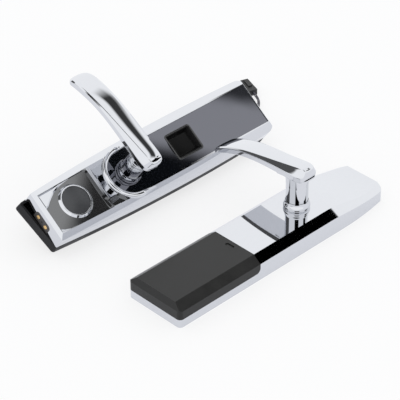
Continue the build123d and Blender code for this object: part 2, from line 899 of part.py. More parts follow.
# Turning plug of the cylinder with its key slot
plug_sink = 0.2
with BuildPart() as key_plug:
    with BuildSketch(key_top.offset(-plug_sink)):
        with Locations((key_u, 0)):
            Circle(plug_r)
    extrude(amount=base_floor - key_panel_top + plug_sink)
    with BuildSketch(key_top):
        with Locations((key_u + 0.8, 0)):
            SlotOverall(8.5, 2.0)
    extrude(amount=-18, mode=Mode.SUBTRACT)
key_plug.part.label = "key_plug"
export_step(key_plug.part, "parts/key_plug.step")

# Finger well, a moulded frame with sloped sides and a ledge for the window
well_top = front.offset(panel_top + well_lip)
well_mid = (well_u0 + well_u1) * 0.5
window_u = 21.0
window_v = 19.0
window_top = panel_top + well_lip - well_depth
with BuildPart() as finger_well:
    with BuildSketch(well_top):
        add(well_shape.sketch)
    extrude(amount=well_bottom - panel_top - well_lip)
    with BuildSketch(well_top):
        add(well_shape.sketch)
        offset(amount=-0.9, mode=Mode.REPLACE)
    extrude(amount=well_depth, dir=-front.z_dir, taper=28, mode=Mode.SUBTRACT)
    with BuildSketch(front.offset(window_top)):
        with Locations((well_mid, 0)):
            Rectangle(window_u, window_v)
    extrude(amount=-window_t, mode=Mode.SUBTRACT)
    with BuildSketch(front.offset(window_top)):
        with Locations((well_mid, 0)):
            Rectangle(window_u - 4, window_v - 4)
    extrude(amount=-20, mode=Mode.SUBTRACT)
finger_well.part.label = "finger_well"
export_step(finger_well.part, "parts/finger_well.step")

# Reader window on its ledge
with BuildPart() as reader_window:
    with BuildSketch(front.offset(window_top)):
        with Locations((well_mid, 0)):
            Rectangle(window_u, window_v)
    extrude(amount=-window_t)
reader_window.part.label = "reader_window"
export_step(reader_window.part, "parts/reader_window.step")

# Circuit board hung from the case roof
board_top = front.offset(front_board_w + board_t)
with BuildPart() as front_board:
    with BuildSketch(board_top):
        with Locations((front_board_u0, 0)):
            Rectangle(
                front_board_u1 - front_board_u0, 2 * front_board_half, align=(Align.MIN, Align.CENTER)
            )
    extrude(amount=-board_t)
    with BuildSketch(front.offset(front_board_w)):
        with Locations((front_board_u0 + 21, 8)):
            Rectangle(14, 14)
        with Locations((front_board_u0 + 21, -12)):
            Rectangle(10, 8)
        with Locations((front_board_u1 - 16, 0)):
            Rectangle(8, 24)
    extrude(amount=-4)
front_board.part.label = "front_board"
export_step(front_board.part, "parts/front_board.step")

# Reader module between the board and the underside of the well
with BuildPart() as reader_module:
    with BuildSketch(board_top):
        with Locations((well_mid, 0)):
            Rectangle(24, 22)
    extrude(amount=well_bottom - front_board_w - board_t)
reader_module.part.label = "reader_module"
export_step(reader_module.part, "parts/reader_module.step")

# Emergency power contact block in the foot end, standing on the housing rim
block_front = across(front, -front_foot - block_proud)
pin_w = (base_h + block_top) * 0.5
with BuildPart() as power_block:
    with BuildSketch(block_front):
        add(block_shape.sketch)
        with Locations((pin_v, pin_w), (-pin_v, pin_w)):
            Circle(pin_r, mode=Mode.SUBTRACT)
    extrude(amount=block_proud + block_depth)
    with BuildSketch(block_front):
        with Locations((0, pin_w)):
            Circle(0.9)
    extrude(amount=3, mode=Mode.SUBTRACT)
power_block.part.label = "power_block"
export_step(power_block.part, "parts/power_block.step")

# Two gilt contacts in the block
with BuildPart() as power_pins:
    with BuildSketch(block_front.offset(-0.5)):
        with Locations((pin_v, pin_w), (-pin_v, pin_w)):
            Circle(pin_r)
    extrude(amount=0.5 + block_proud + block_depth)
    chamfer(
        power_pins.edges().filter_by(GeomType.CIRCLE).filter_by(
            lambda e: front.to_local_coords(e.arc_center).X < -front_foot - block_proud - 0.4
        ),
        0.4,
    )
power_pins.part.label = "power_pins"
export_step(power_pins.part, "parts/power_pins.step")

front_bead = bead_ring(front_seat)
front_bead.label = "front_bead"
export_step(front_bead, "parts/front_bead.step")

front_shank = panel_top - 2.0
front_clip_top = panel_top - cavity_h + 0.2
front_lever = lever_casting(front_seat, front_shank, front_clip_top)
front_lever.label = "front_lever"
export_step(front_lever, "parts/front_lever.step")

front_clip = shank_clip(front_seat, front_clip_top)
front_clip.label = "front_clip"
export_step(front_clip, "parts/front_clip.step")

front_grub = grub_screw(front_seat)
front_grub.label = "front_grub"
export_step(front_grub, "parts/front_grub.step")

front_spring = return_spring(front.offset(base_floor))
front_spring.label = "front_spring"
export_step(front_spring, "parts/front_spring.step")

# Square spindle in the socket of the outside lever
spindle_out = 20.0
with BuildPart() as front_spindle:
    with BuildSketch(front.offset(-spindle_out)):
        Rectangle(spindle_side, spindle_side)
    extrude(amount=spindle_out + panel_top - 8)
front_spindle.part.label = "front_spindle"
export_step(front_spindle.part, "parts/front_spindle.step")

# Two tapped fixing posts on the back of the housing
with BuildPart() as front_posts:
    for u in post_u:
        with BuildSketch(front):
            with Locations((u, 0)):
                Circle(post_r)
        extrude(amount=-post_len)
        with BuildSketch(front):
            with Locations((u, 0)):
                Circle(spigot_r)
        extrude(amount=base_floor)
        with BuildSketch(front.offset(-post_len)):
            with Locations((u, 0)):
                Circle(post_bore_r)
        extrude(amount=post_bore_depth, mode=Mode.SUBTRACT)
front_posts.part.label = "front_posts"
export_step(front_posts.part, "parts/front_posts.step")

# Grommet where the lead leaves the housing
with BuildPart() as lead_grommet:
    with BuildSketch(front):
        with Locations((grommet_u, 0)):
            Circle(grommet_r + 2)
            Circle(cord_r, mode=Mode.SUBTRACT)
    extrude(amount=-1.2)
    with BuildSketch(front):
        with Locations((grommet_u, 0)):
            Circle(grommet_r)
            Circle(cord_r, mode=Mode.SUBTRACT)
    extrude(amount=base_floor)
lead_grommet.part.label = "lead_grommet"
export_step(lead_grommet.part, "parts/lead_grommet.step")

front_screws = countersunk(front, front_screws_at, front_screw_len - 1.0)
front_screws.label = "front_screws"
export_step(front_screws, "parts/front_screws.step")

# Plug at the end of the lead, lying on the surface
plug_l = 24.0
plug_w = 9.0
plug_h = 7.0
plug_way = Vector(0.336, 0.942, 0).normalized()
plug = Plane(origin=(149.0, 211.6, 0), x_dir=plug_way, z_dir=(0, 0, 1))
with BuildPart() as lead_plug:
    with BuildSketch(plug):
        Rectangle(plug_l, plug_w)
    extrude(amount=plug_h)
    with BuildSketch(plug.offset(plug_h)):
        with Locations((3, 0)):
            Rectangle(14, 4)
    extrude(amount=1.4)
    with BuildSketch(plug):
        with Locations((2, plug_w * 0.5 + 0.5), (2, -plug_w * 0.5 - 0.5)):
            Rectangle(16, 1)
    extrude(amount=2.0)
    plug_end = plug.from_local_coords((plug_l * 0.5, 0, plug_h * 0.5))
    with BuildSketch(Plane(plug_end, x_dir=plug.y_dir, z_dir=plug.x_dir)):
        with GridLocations(2.5, 3, 3, 2):
            Rectangle(1.5, 1.5)
    extrude(amount=-5, mode=Mode.SUBTRACT)
lead_plug.part.label = "lead_plug"
export_step(lead_plug.part, "parts/lead_plug.step")

# Lead from the board through the grommet, under the leaning half and along the surface to the plug
lead_points = [
    front.from_local_coords((grommet_u, 0, front_board_w)),
    front.from_local_coords((grommet_u, 0, -17)),
    Vector(62, 166, cord_r),
    Vector(100, 163, cord_r),
    plug.from_local_coords((-plug_l * 0.5 - 22, 0, plug_h * 0.5)),
    plug.from_local_coords((-plug_l * 0.5, 0, plug_h * 0.5)),
]
lead_runs = [b - a for a, b in zip(lead_points, lead_points[1:])]
lead_radii = [
    0.45 * min(a.length, b.length) / tan(radians(a.get_angle(b) * 0.5))
    for a, b in zip(lead_runs, lead_runs[1:])
]
print("lead points", [tuple(round(c, 2) for c in p) for p in lead_points])
print("lead radii", [round(r, 1) for r in lead_radii])
with BuildPart() as lead_cord:
    with BuildLine() as lead_line:
        FilletPolyline(*lead_points, radius=lead_radii)
    with BuildSketch(Plane(lead_line.line @ 0, z_dir=lead_line.line % 0)):
        Circle(cord_r)
    sweep(path=lead_line.line)
print("lead length", round(sum(e.length for e in lead_line.edges()), 1))
lead_cord.part.label = "lead_cord"
export_step(lead_cord.part, "parts/lead_cord.step")
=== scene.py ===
from math import cos, pi, radians, sin

import bpy
import bmesh
from mathutils import Matrix, Vector


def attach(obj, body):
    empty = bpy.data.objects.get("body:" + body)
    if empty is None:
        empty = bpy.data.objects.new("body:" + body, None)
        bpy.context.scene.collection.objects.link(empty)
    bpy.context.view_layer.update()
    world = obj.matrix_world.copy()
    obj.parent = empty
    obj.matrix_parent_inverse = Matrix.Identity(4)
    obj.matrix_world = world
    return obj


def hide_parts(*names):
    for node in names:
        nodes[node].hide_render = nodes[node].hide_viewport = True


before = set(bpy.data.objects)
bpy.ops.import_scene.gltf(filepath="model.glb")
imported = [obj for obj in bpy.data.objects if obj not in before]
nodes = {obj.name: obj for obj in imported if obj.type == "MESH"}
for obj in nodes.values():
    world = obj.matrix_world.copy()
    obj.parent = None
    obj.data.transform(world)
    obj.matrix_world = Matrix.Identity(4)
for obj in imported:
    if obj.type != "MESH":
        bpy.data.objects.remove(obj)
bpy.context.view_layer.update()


# Back housing of the outside half: a shallow tray moulded in black plastic with a fine spark texture.
# It stands on the door, carries the fixing posts and is screwed to the chrome case from behind.
def new_finish(name):
    finish = bpy.data.materials.new(name)
    finish.use_nodes = True
    tree = finish.node_tree
    place = tree.nodes.new("ShaderNodeTexCoord")
    return finish, tree, tree.nodes["Principled BSDF"], place.outputs["Object"]


def grain_of(tree, where, scale, detail=3.0, stretch=(1.0, 1.0, 1.0)):
    mapping = tree.nodes.new("ShaderNodeMapping")
    mapping.inputs["Scale"].default_value = stretch
    tree.links.new(where, mapping.inputs["Vector"])
    noise = tree.nodes.new("ShaderNodeTexNoise")
    noise.inputs["Scale"].default_value = scale
    noise.inputs["Detail"].default_value = detail
    tree.links.new(mapping.outputs["Vector"], noise.inputs["Vector"])
    return noise.outputs["Fac"]


def vary_roughness(tree, shader, grain, low, high):
    spread = tree.nodes.new("ShaderNodeMapRange")
    spread.inputs["From Min"].default_value = 0.3
    spread.inputs["From Max"].default_value = 0.7
    spread.inputs["To Min"].default_value = low
    spread.inputs["To Max"].default_value = high
    tree.links.new(grain, spread.inputs["Value"])
    tree.links.new(spread.outputs["Result"], shader.inputs["Roughness"])


def vary_colour(tree, shader, grain, dark, light):
    blend = tree.nodes.new("ShaderNodeMix")
    blend.data_type = "RGBA"
    blend.inputs["A"].default_value = (*dark, 1)
    blend.inputs["B"].default_value = (*light, 1)
    tree.links.new(grain, blend.inputs["Factor"])
    tree.links.new(blend.outputs["Result"], shader.inputs["Base Color"])


def raise_grain(tree, shader, grain, height):
    bump = tree.nodes.new("ShaderNodeBump")
    bump.inputs["Distance"].default_value = height
    tree.links.new(grain, bump.inputs["Height"])
    tree.links.new(bump.outputs["Normal"], shader.inputs["Normal"])


def moulded(name, dark, light, low, high, sheen=0.5, height=0.00004):
    finish, tree, shader, where = new_finish(name)
    cloud = grain_of(tree, where, 60.0)
    vary_colour(tree, shader, cloud, dark, light)
    vary_roughness(tree, shader, cloud, low, high)
    raise_grain(tree, shader, grain_of(tree, where, 2600.0), height)
    shader.inputs["Specular IOR Level"].default_value = sheen
    return finish


def paint(finish, name):
    nodes[name].data.materials.clear()
    nodes[name].data.materials.append(finish)


paint(
    moulded("housing_plastic", (0.006, 0.006, 0.007), (0.010, 0.010, 0.012), 0.45, 0.60, sheen=0.25),
    "front_base",
)


# Fixing posts of the outside half: turned bright steel, tapped from the free end.
# Their spigots are pressed into the housing floor, and the lock leans on them off the door.
def turned_metal(name, tone):
    finish, tree, shader, where = new_finish(name)
    shader.inputs["Metallic"].default_value = 1.0
    lines = grain_of(tree, where, 900.0, stretch=(1.0, 1.0, 0.08))
    vary_colour(tree, shader, lines, [0.82 * t for t in tone], tone)
    vary_roughness(tree, shader, lines, 0.22, 0.38)
    raise_grain(tree, shader, lines, 0.00001)
    return finish


steel = turned_metal("drawn_steel", (0.60, 0.60, 0.61))
paint(steel, "front_posts")

# Grommet of the wiring lead: moulded black rubber.
# It is pushed into the housing floor and holds the lead clear of the edge of its hole.
paint(moulded("grommet_rubber", (0.012, 0.012, 0.012), (0.020, 0.020, 0.020), 0.60, 0.75), "lead_grommet")

# Return spring of the outside lever: square steel wire wound in two and a half turns.
# It stands on the housing floor round the shank.
paint(steel, "front_spring")


# Chrome case of the outside half: a zinc casting, polished and plated bright.
# Slight waves left by the polishing show in what it mirrors.
def bright_plate(name, tone):
    finish, tree, shader, where = new_finish(name)
    shader.inputs["Metallic"].default_value = 1.0
    haze = grain_of(tree, where, 240.0)
    vary_colour(tree, shader, haze, [0.97 * t for t in tone], tone)
    vary_roughness(tree, shader, haze, 0.015, 0.04)
    raise_grain(tree, shader, grain_of(tree, where, 22.0, detail=1.0), 0.00002)
    return finish


chrome = bright_plate("chrome_plate", (0.71, 0.72, 0.745))
paint(chrome, "front_case")

# Rounded crest of the raised hoop: cast and plated in one with the outside case.
# It runs round the lower end of the reader panel and dies out along the rim on both sides. Sizes in
# millimetres from the lever's axis and the reader panel's face.
crest_middle = 26.1
crest_half = 2.9
crest_rise = 1.2
crest_run = 17.0
crest_sink = 1.6
crest_taper = 0.3
crest_sides = 20
crest_steps = 56
seat_place = (-0.0966, 0.137674, 0.045858)
seat_tilt = radians(36.254)
front_seat = Matrix.Translation(seat_place) @ Matrix.Rotation(seat_tilt, 4, "X")
millimetres = Matrix.Scale(0.001, 4)


def make_piece(form, name, finish):
    mesh = bpy.data.meshes.new(name)
    form.to_mesh(mesh)
    form.free()
    mesh.materials.append(finish)
    piece = bpy.data.objects.new(name, mesh)
    bpy.context.scene.collection.objects.link(piece)
    return piece


crest_form = bmesh.new()
bmesh.ops.create_circle(crest_form, cap_ends=True, segments=crest_sides, radius=crest_half)
bmesh.ops.rotate(crest_form, matrix=Matrix.Rotation(pi / 2, 3, "Y"), verts=crest_form.verts)
bmesh.ops.translate(crest_form, vec=(0, -crest_middle, crest_rise), verts=crest_form.verts)
first_end = crest_form.faces[:]
swept = bmesh.ops.spin(
    crest_form,
    geom=crest_form.verts[:] + crest_form.edges[:] + first_end,
    cent=(0, 0, 0),
    axis=(0, 0, 1),
    angle=-pi,
    steps=crest_steps,
)
last_end = [part for part in swept["geom_last"] if isinstance(part, bmesh.types.BMFace)]
for end, middle in ((first_end, -crest_middle), (last_end, crest_middle)):
    run = bmesh.ops.extrude_face_region(crest_form, geom=end)["geom"]
    tip = [part for part in run if isinstance(part, bmesh.types.BMVert)]
    tip_middle = Matrix.Translation((0, -middle, -crest_rise))
    bmesh.ops.scale(crest_form, vec=(1, crest_taper, crest_taper), verts=tip, space=tip_middle)
    bmesh.ops.translate(crest_form, vec=(crest_run, 0, -crest_sink), verts=tip)
bmesh.ops.recalc_face_normals(crest_form, faces=crest_form.faces)
for face in crest_form.faces:
    face.smooth = True
bmesh.ops.transform(crest_form, matrix=front_seat @ millimetres, verts=crest_form.verts)
hoop_crest = make_piece(crest_form, "hoop_crest", chrome)
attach(hoop_crest, "set")

# Circuit board of the outside half: green lacquered laminate.
# It hangs from posts under the roof of the chrome case.
board_lacquer = moulded("board_lacquer", (0.010, 0.060, 0.024), (0.016, 0.085, 0.034), 0.25, 0.40)
paint(board_lacquer, "front_board")

# Reader module: a black moulded sensor body.
# It stands on the circuit board under the window of the finger well.
paint(moulded("module_plastic", (0.012, 0.012, 0.013), (0.020, 0.020, 0.021), 0.40, 0.50), "reader_module")

# Finger well: a black moulded frame with sloped sides.
# It drops into the opening of the reader panel and stands on the module.
paint(
    moulded("well_plastic", (0.003, 0.003, 0.003), (0.005, 0.005, 0.005), 0.28, 0.38, sheen=0.18),
    "finger_well",
)


# Reader window: a plate of dark glass.
# It lies on the ledge at the bottom of the finger well.
def lacquered(name, dark, light, mirror, low, high, tint=(1.0, 1.0, 1.0)):
    finish, tree, shader, where = new_finish(name)
    cloud = grain_of(tree, where, 45.0)
    vary_colour(tree, shader, cloud, dark, light)
    vary_roughness(tree, shader, cloud, low, high)
    raise_grain(tree, shader, grain_of(tree, where, 30.0, detail=1.0), 0.00001)
    shader.inputs["IOR"].default_value = mirror
    shader.inputs["Specular Tint"].default_value = (*tint, 1)
    return finish


paint(
    lacquered("window_glass", (0.002, 0.002, 0.002), (0.003, 0.003, 0.003), 1.22, 0.04, 0.08),
    "reader_window",
)

# Rounded lip of the finger well: a gloss grey moulding in one with the well.
# It stands a little over the reader panel all round the opening. Sizes in millimetres from the lever's axis
# and the reader panel's face.
lip_middle = 76.0
lip_half_long = 17.6
lip_half_wide = 15.2
lip_corner = 3.6
lip_lift = 0.02
# Width and rise of each step of the rounding, from the outer edge inwards
lip_rounding = ((0.5, 0.55), (0.7, 0.15), (0.9, -0.5), (0.4, -0.8))
lip_form = bmesh.new()
bmesh.ops.create_grid(lip_form, x_segments=1, y_segments=1, size=1.0)
bmesh.ops.scale(lip_form, vec=(lip_half_long, lip_half_wide, 1), verts=lip_form.verts)
bmesh.ops.translate(lip_form, vec=(lip_middle, 0, lip_lift), verts=lip_form.verts)
bmesh.ops.bevel(
    lip_form,
    geom=lip_form.verts[:],
    offset=lip_corner,
    affect="VERTICES",
    segments=6,
    profile=0.5,
    material=-1,
)
opening = lip_form.faces[:]
for thickness, depth in lip_rounding:
    bmesh.ops.inset_region(
        lip_form, faces=opening, use_boundary=True, use_even_offset=True, thickness=thickness, depth=depth
    )
bmesh.ops.delete(lip_form, geom=opening, context="FACES")
for face in lip_form.faces:
    face.smooth = True
bmesh.ops.transform(lip_form, matrix=front_seat @ millimetres, verts=lip_form.verts)
lip_gloss = lacquered("lip_gloss", (0.012, 0.012, 0.013), (0.016, 0.016, 0.017), 1.7, 0.12, 0.18)
well_lip = make_piece(lip_form, "well_lip", lip_gloss)
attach(well_lip, "set")

# Reader panel: a gloss black moulding under a half mirror lacquer.
# It is let into the chrome case up to the raised hoop.
panel_tint = (0.88, 0.89, 1.0)
paint(
    lacquered("panel_lacquer", (0.004, 0.005, 0.007), (0.006, 0.007, 0.009), 2.55, 0.01, 0.03, panel_tint),
    "front_panel",
)

# Key panel: a moulding under dark grey lacquer, less deep than the reader panel's.
# It is let into its own pocket in the chrome case below the hoop.
key_tint = (0.98, 0.99, 1.0)
paint(
    lacquered("key_lacquer", (0.026, 0.026, 0.027), (0.031, 0.031, 0.032), 2.4, 0.02, 0.04, key_tint),
    "key_panel",
)

# Scoops in the two foot corners of the key panel's pocket: part of the case casting, polished and plated.
# They lie a little over the key panel. Corners in millimetres from the lever's axis, and their depth under
# the reader panel's face.
far_scoop = (
    (-103.0, 21.7),
    (-103.0, 6.0),
    (-98.4, 7.7),
    (-93.7, 11.3),
    (-84.7, 17.1),
    (-73.8, 20.8),
    (-60.9, 22.8),
)
near_scoop = ((-103.0, -21.7), (-89.5, -22.1), (-97.0, -19.8), (-103.0, -16.5))
scoop_drop = 1.69
scoop_slope = 1.5
scoop_rise = 1.0
scoop_form = bmesh.new()
for outline in (far_scoop, near_scoop):
    scoop = scoop_form.faces.new([scoop_form.verts.new((*corner, -scoop_drop)) for corner in outline])
    scoop.normal_update()
    if scoop.normal.z < 0:
        scoop.normal_flip()
    bmesh.ops.inset_region(
        scoop_form,
        faces=[scoop],
        use_boundary=True,
        use_even_offset=True,
        thickness=scoop_slope,
        depth=scoop_rise,
    )
bmesh.ops.transform(scoop_form, matrix=front_seat @ millimetres, verts=scoop_form.verts)
key_scoops = make_piece(scoop_form, "key_scoops", chrome)
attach(key_scoops, "set")

# Ring round the key cap: a turned low cone, plated bright.
# It is pressed down on the key panel.
paint(chrome, "key_ring")

# Barrel of the emergency key cylinder: machined brass.
# It stands on the housing floor and comes up through the key panel.
brass = turned_metal("machined_brass", (0.72, 0.52, 0.26))
paint(brass, "key_barrel")

# Plug of the emergency key cylinder: machined brass with a milled key slot.
# It turns in the barrel.
paint(brass, "key_plug")

# Round key cap: a slightly domed moulding under dark grey lacquer.
# It sits in the chrome ring and lifts off over the key slot.
cap_tint = (0.97, 0.98, 1.0)
paint(
    lacquered("cap_lacquer", (0.046, 0.048, 0.052), (0.054, 0.056, 0.060), 1.5, 0.22, 0.28, cap_tint),
    "key_cap",
)

# Emergency power block in the foot end: a grey moulding.
# It stands on the rim of the housing in a notch of the chrome case.
paint(moulded("block_plastic", (0.046, 0.042, 0.042), (0.056, 0.052, 0.052), 0.45, 0.60), "power_block")

# Power contacts: two gilt pins with bevelled ends.
# They are moulded into the power block, and a block battery is held against them when the cells are flat.
paint(turned_metal("gilt_contact", (0.88, 0.60, 0.27)), "power_pins")

# Bead ring at the foot of the outside lever: a turned and plated collar.
# It is fixed on the reader panel, and the neck of the lever turns inside it.
paint(chrome, "front_bead")

# Outside lever: a zinc casting, polished and plated like the case. It turns in the case on its shank.
# The arm leaves the round neck as a deep bevelled bar, thins until its bevels run out, and bends down to
# the tip as a blade. Neck, shank and socket are the solid's own.
neck_top = 0.0400
neck_clear = 0.0165
# Stations of the arm in millimetres from the lever's axis and seat: place along the arm, half width,
# heights of the underside, the side edges and the crown, half width of the crown
arm_stations = (
    (-17.6, 8.6, 39.4, 44.2, 51.0, 5.0),
    (-12.0, 12.6, 38.0, 44.0, 52.8, 7.6),
    (5.0, 12.8, 38.0, 44.3, 50.0, 7.8),
    (22.0, 12.6, 38.0, 44.2, 47.4, 8.4),
    (43.0, 12.4, 37.2, 42.8, 44.6, 9.4),
    (60.0, 12.2, 34.8, 40.6, 41.8, 10.0),
    (72.0, 12.2, 32.0, 37.8, 38.8, 10.2),
    (86.0, 12.2, 27.0, 33.4, 34.4, 10.4),
    (98.0, 12.0, 21.4, 28.0, 29.0, 10.4),
    (107.0, 11.4, 15.8, 19.6, 21.4, 9.8),
)
arm_creases = (0.55, 0.75, 0.65, 0.0, 0.65, 0.75, 0.55)
crown_swell = 0.55


def cast_lever(node_name, body, seat):
    cage = bmesh.new()
    crease = cage.edges.layers.float.new("crease_edge")
    rings = []
    for along, half, under, edge, crown, crown_half in arm_stations:
        right = [(half, under), (half, edge), (crown_half, crown)]
        left = [(-across, rise) for across, rise in right[::-1]]
        corners = right + [(0, crown + crown_swell)] + left
        ring = [cage.verts.new((across, along, rise)) for across, rise in corners]
        loop = [cage.edges.new((spot, after)) for spot, after in zip(ring, ring[1:] + ring[:1])]
        if rings:
            bmesh.ops.bridge_loops(cage, edges=loop + rings[-1][1])
            for spot, before, sharp in zip(ring, rings[-1][0], arm_creases):
                cage.edges.get((spot, before))[crease] = sharp
        rings.append((ring, loop))
    bmesh.ops.holes_fill(cage, edges=rings[0][1] + rings[-1][1], sides=len(arm_creases))
    bmesh.ops.recalc_face_normals(cage, faces=cage.faces)
    for face in cage.faces:
        face.smooth = True
    bmesh.ops.transform(cage, matrix=seat @ millimetres, verts=cage.verts)
    cage_mesh = bpy.data.meshes.new(body + "_cage")
    cage.to_mesh(cage_mesh)
    cage.free()
    arm = bpy.data.objects.new(body + "_arm", cage_mesh)
    bpy.context.scene.collection.objects.link(arm)
    rounding = arm.modifiers.new("rounding", "SUBSURF")
    rounding.levels = rounding.render_levels = 4
    arm_mesh = bpy.data.meshes.new_from_object(arm.evaluated_get(bpy.context.evaluated_depsgraph_get()))
    bpy.data.objects.remove(arm)
    form = bmesh.new()
    form.from_mesh(nodes[node_name].data)
    for side, limit in ((2, neck_top), (1, neck_clear)):
        whole = form.verts[:] + form.edges[:] + form.faces[:]
        cut = seat @ Vector([limit * (axis == side) for axis in range(3)])
        bmesh.ops.bisect_plane(form, geom=whole, plane_co=cut, plane_no=seat.col[side].xyz, clear_outer=True)
    form.from_mesh(arm_mesh)
    lever = make_piece(form, body + "_casting", chrome)
    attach(lever, body)
    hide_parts(node_name)


cast_lever("front_lever", "outside_lever", front_seat)

# Retaining clip of the outside lever: punched spring steel.
# It snaps into the groove of the shank under the case roof.
paint(steel, "front_clip")

# Spindle: a square steel bar.
# It slides in the socket of the outside lever and reaches through the door.
paint(steel, "front_spindle")

# Grub screw of the outside lever: blackened steel with a hexagon socket.
# It is sunk in the side of the neck and holds the spindle.
black_steel = turned_metal("blackened_steel", (0.10, 0.10, 0.11))
paint(black_steel, "front_grub")

# Case screws of the outside half: plated countersunk cross heads.
# They pass through the housing floor into the bosses of the chrome case.
paint(steel, "front_screws")

# Plug of the wiring lead: a black moulded housing with a latch rib and six sockets.
# It lies on the surface behind the head end of the case.
paint(moulded("plug_plastic", (0.016, 0.016, 0.016), (0.026, 0.026, 0.026), 0.40, 0.55), "lead_plug")

# Wiring lead: three thin sleeved wires laid loosely together.
# They leave the housing through the grommet, run along the surface and are crimped into the plug.
wire_radius = 0.00062
wire_count = 3
lay_radius = 0.00105
lay_turns = 3.0
lay_upright = Vector((0, 0.2, 1))
wire_sides = 10
lead_route = (
    (0.02340, 0.14725, 0.03279),
    (0.02340, 0.16618, 0.00699),
    (0.06200, 0.16600, 0.00180),
    (0.10000, 0.16300, 0.00180),
    (0.13758, 0.17958, 0.00350),
    (0.14497, 0.20030, 0.00350),
)
lead_line = bpy.data.curves.new("lead_line", "CURVE")
lead_line.dimensions = "3D"
route = lead_line.splines.new("NURBS")
route.points.add(len(lead_route) - 1)
for point, spot in zip(route.points, lead_route):
    point.co = (*spot, 1)
route.order_u = 3
route.use_endpoint_u = True
route.resolution_u = 24
lead_guide = bpy.data.objects.new("lead_guide", lead_line)
lead_mesh = bpy.data.meshes.new_from_object(lead_guide)
lead_path = [vertex.co.copy() for vertex in lead_mesh.vertices]
bpy.data.objects.remove(lead_guide)
wire_form = bmesh.new()
for wire in range(wire_count):
    rings = []
    for step, spot in enumerate(lead_path):
        ahead = lead_path[min(step + 1, len(lead_path) - 1)] - lead_path[max(step - 1, 0)]
        side = ahead.cross(lay_upright).normalized()
        over = side.cross(ahead).normalized()
        turn = 2 * pi * (wire / wire_count + lay_turns * step / len(lead_path))
        middle = spot + (side * cos(turn) + over * sin(turn)) * lay_radius
        ring = []
        for corner in range(wire_sides):
            angle = 2 * pi * corner / wire_sides
            ring.append(wire_form.verts.new(middle + (side * cos(angle) + over * sin(angle)) * wire_radius))
        rings.append(ring)
    for near, far in zip(rings, rings[1:]):
        for corner in range(wire_sides):
            after = (corner + 1) % wire_sides
            wire_form.faces.new((near[corner], near[after], far[after], far[corner]))
    wire_form.faces.new(rings[0][::-1])
    wire_form.faces.new(rings[-1])
bmesh.ops.recalc_face_normals(wire_form, faces=wire_form.faces)
for face in wire_form.faces:
    face.smooth = len(face.verts) == 4
lead_sleeve = moulded("lead_sleeve", (0.05, 0.048, 0.062), (0.10, 0.095, 0.12), 0.45, 0.60)
lead_wires = make_piece(wire_form, "lead_wires", lead_sleeve)
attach(lead_wires, "set")
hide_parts("lead_cord")

# Back plate of the inside half: pressed steel with bolt holes, spindle hole and lead window.
# It is bolted to the door, and the chrome case is screwed over it.
paint(steel, "rear_plate")

# Return spring of the inside lever: square steel wire like the outside one.
# It stands on the back plate round the shank.
paint(steel, "rear_spring")

# Battery holder: a black moulded tray with four bays.
# It stands on the back plate under the sliding cover.
paint(moulded("holder_plastic", (0.012, 0.012, 0.013), (0.020, 0.020, 0.021), 0.40, 0.55), "battery_holder")

# Cell contacts: plated cone springs and leaves.
# One of each is set into the ends of every bay.
paint(steel, "battery_contacts")

# Four cells in shrunk plastic sleeves.
# They lie side by side in the holder between the contacts.
paint(moulded("cell_sleeve", (0.05, 0.06, 0.08), (0.07, 0.08, 0.10), 0.20, 0.30), "battery_cells")

# Circuit board of the inside half: green lacquered laminate like the outside one.
# It hangs from posts under the roof of the chrome case.
paint(board_lacquer, "rear_board")

# Chrome case of the inside half: a zinc casting, polished and plated like the outside.
# The top is level under the lever and falls towards the plain end, with a bevel along each long edge.
paint(chrome, "rear_case")

# Plate screws of the inside half: plated countersunk cross heads.
# They pass through the back plate into the bosses of the chrome case.
paint(steel, "rear_screws")

# Bead ring at the foot of the inside lever: a turned and plated collar.
# It is fixed on the top of the case, and the neck of the lever turns inside it.
paint(chrome, "rear_bead")

# Inside lever: the same casting as the outside one.
# It turns in the case on its shank.
rear_seat = Matrix.Translation((0, 0, 0.0254))
cast_lever("rear_lever", "inside_lever", rear_seat)

# Retaining clip of the inside lever: punched spring steel.
# It snaps into the groove of the shank under the case roof.
paint(steel, "rear_clip")

# Grub screw of the inside lever: blackened steel with a hexagon socket.
# It is sunk in the side of the neck.
paint(black_steel, "rear_grub")

# Battery cover: a satin black moulding with bevelled edges and a thumb recess at its inner end.
# It slides off lengthwise towards the battery end.
paint(
    moulded("cover_plastic", (0.011, 0.011, 0.011), (0.015, 0.015, 0.014), 0.28, 0.36, sheen=0.35),
    "battery_cover",
)

# Floor the set lies on: smooth white board, shown nearly as white as the room behind it.
# The set's own soft shadow stays on it.
floor_half = 6.0
floor_drop = 0.0003
white_share = 0.72
floor_paint, floor_tree, floor_shader, _ = new_finish("floor_paint")
floor_shader.inputs["Base Color"].default_value = (0.93, 0.935, 0.95, 1)
floor_shader.inputs["Roughness"].default_value = 0.9
floor_shader.inputs["Specular IOR Level"].default_value = 0.0
floor_rays = floor_tree.nodes.new("ShaderNodeLightPath")
floor_surface = floor_shader.outputs[0]
for ray, colour in (("Is Camera Ray", (1.0, 1.0, 1.0, 1)), ("Is Glossy Ray", (0.93, 0.945, 0.995, 1))):
    white = floor_tree.nodes.new("ShaderNodeEmission")
    white.inputs["Color"].default_value = colour
    white.inputs["Strength"].default_value = 1.0
    seen = floor_tree.nodes.new("ShaderNodeMath")
    seen.operation = "MULTIPLY"
    seen.inputs[1].default_value = white_share
    floor_tree.links.new(floor_rays.outputs[ray], seen.inputs[0])
    whitened = floor_tree.nodes.new("ShaderNodeMixShader")
    floor_tree.links.new(seen.outputs[0], whitened.inputs["Fac"])
    floor_tree.links.new(floor_surface, whitened.inputs[1])
    floor_tree.links.new(white.outputs[0], whitened.inputs[2])
    floor_surface = whitened.outputs[0]
floor_tree.links.new(floor_surface, floor_tree.nodes["Material Output"].inputs["Surface"])
floor_form = bmesh.new()
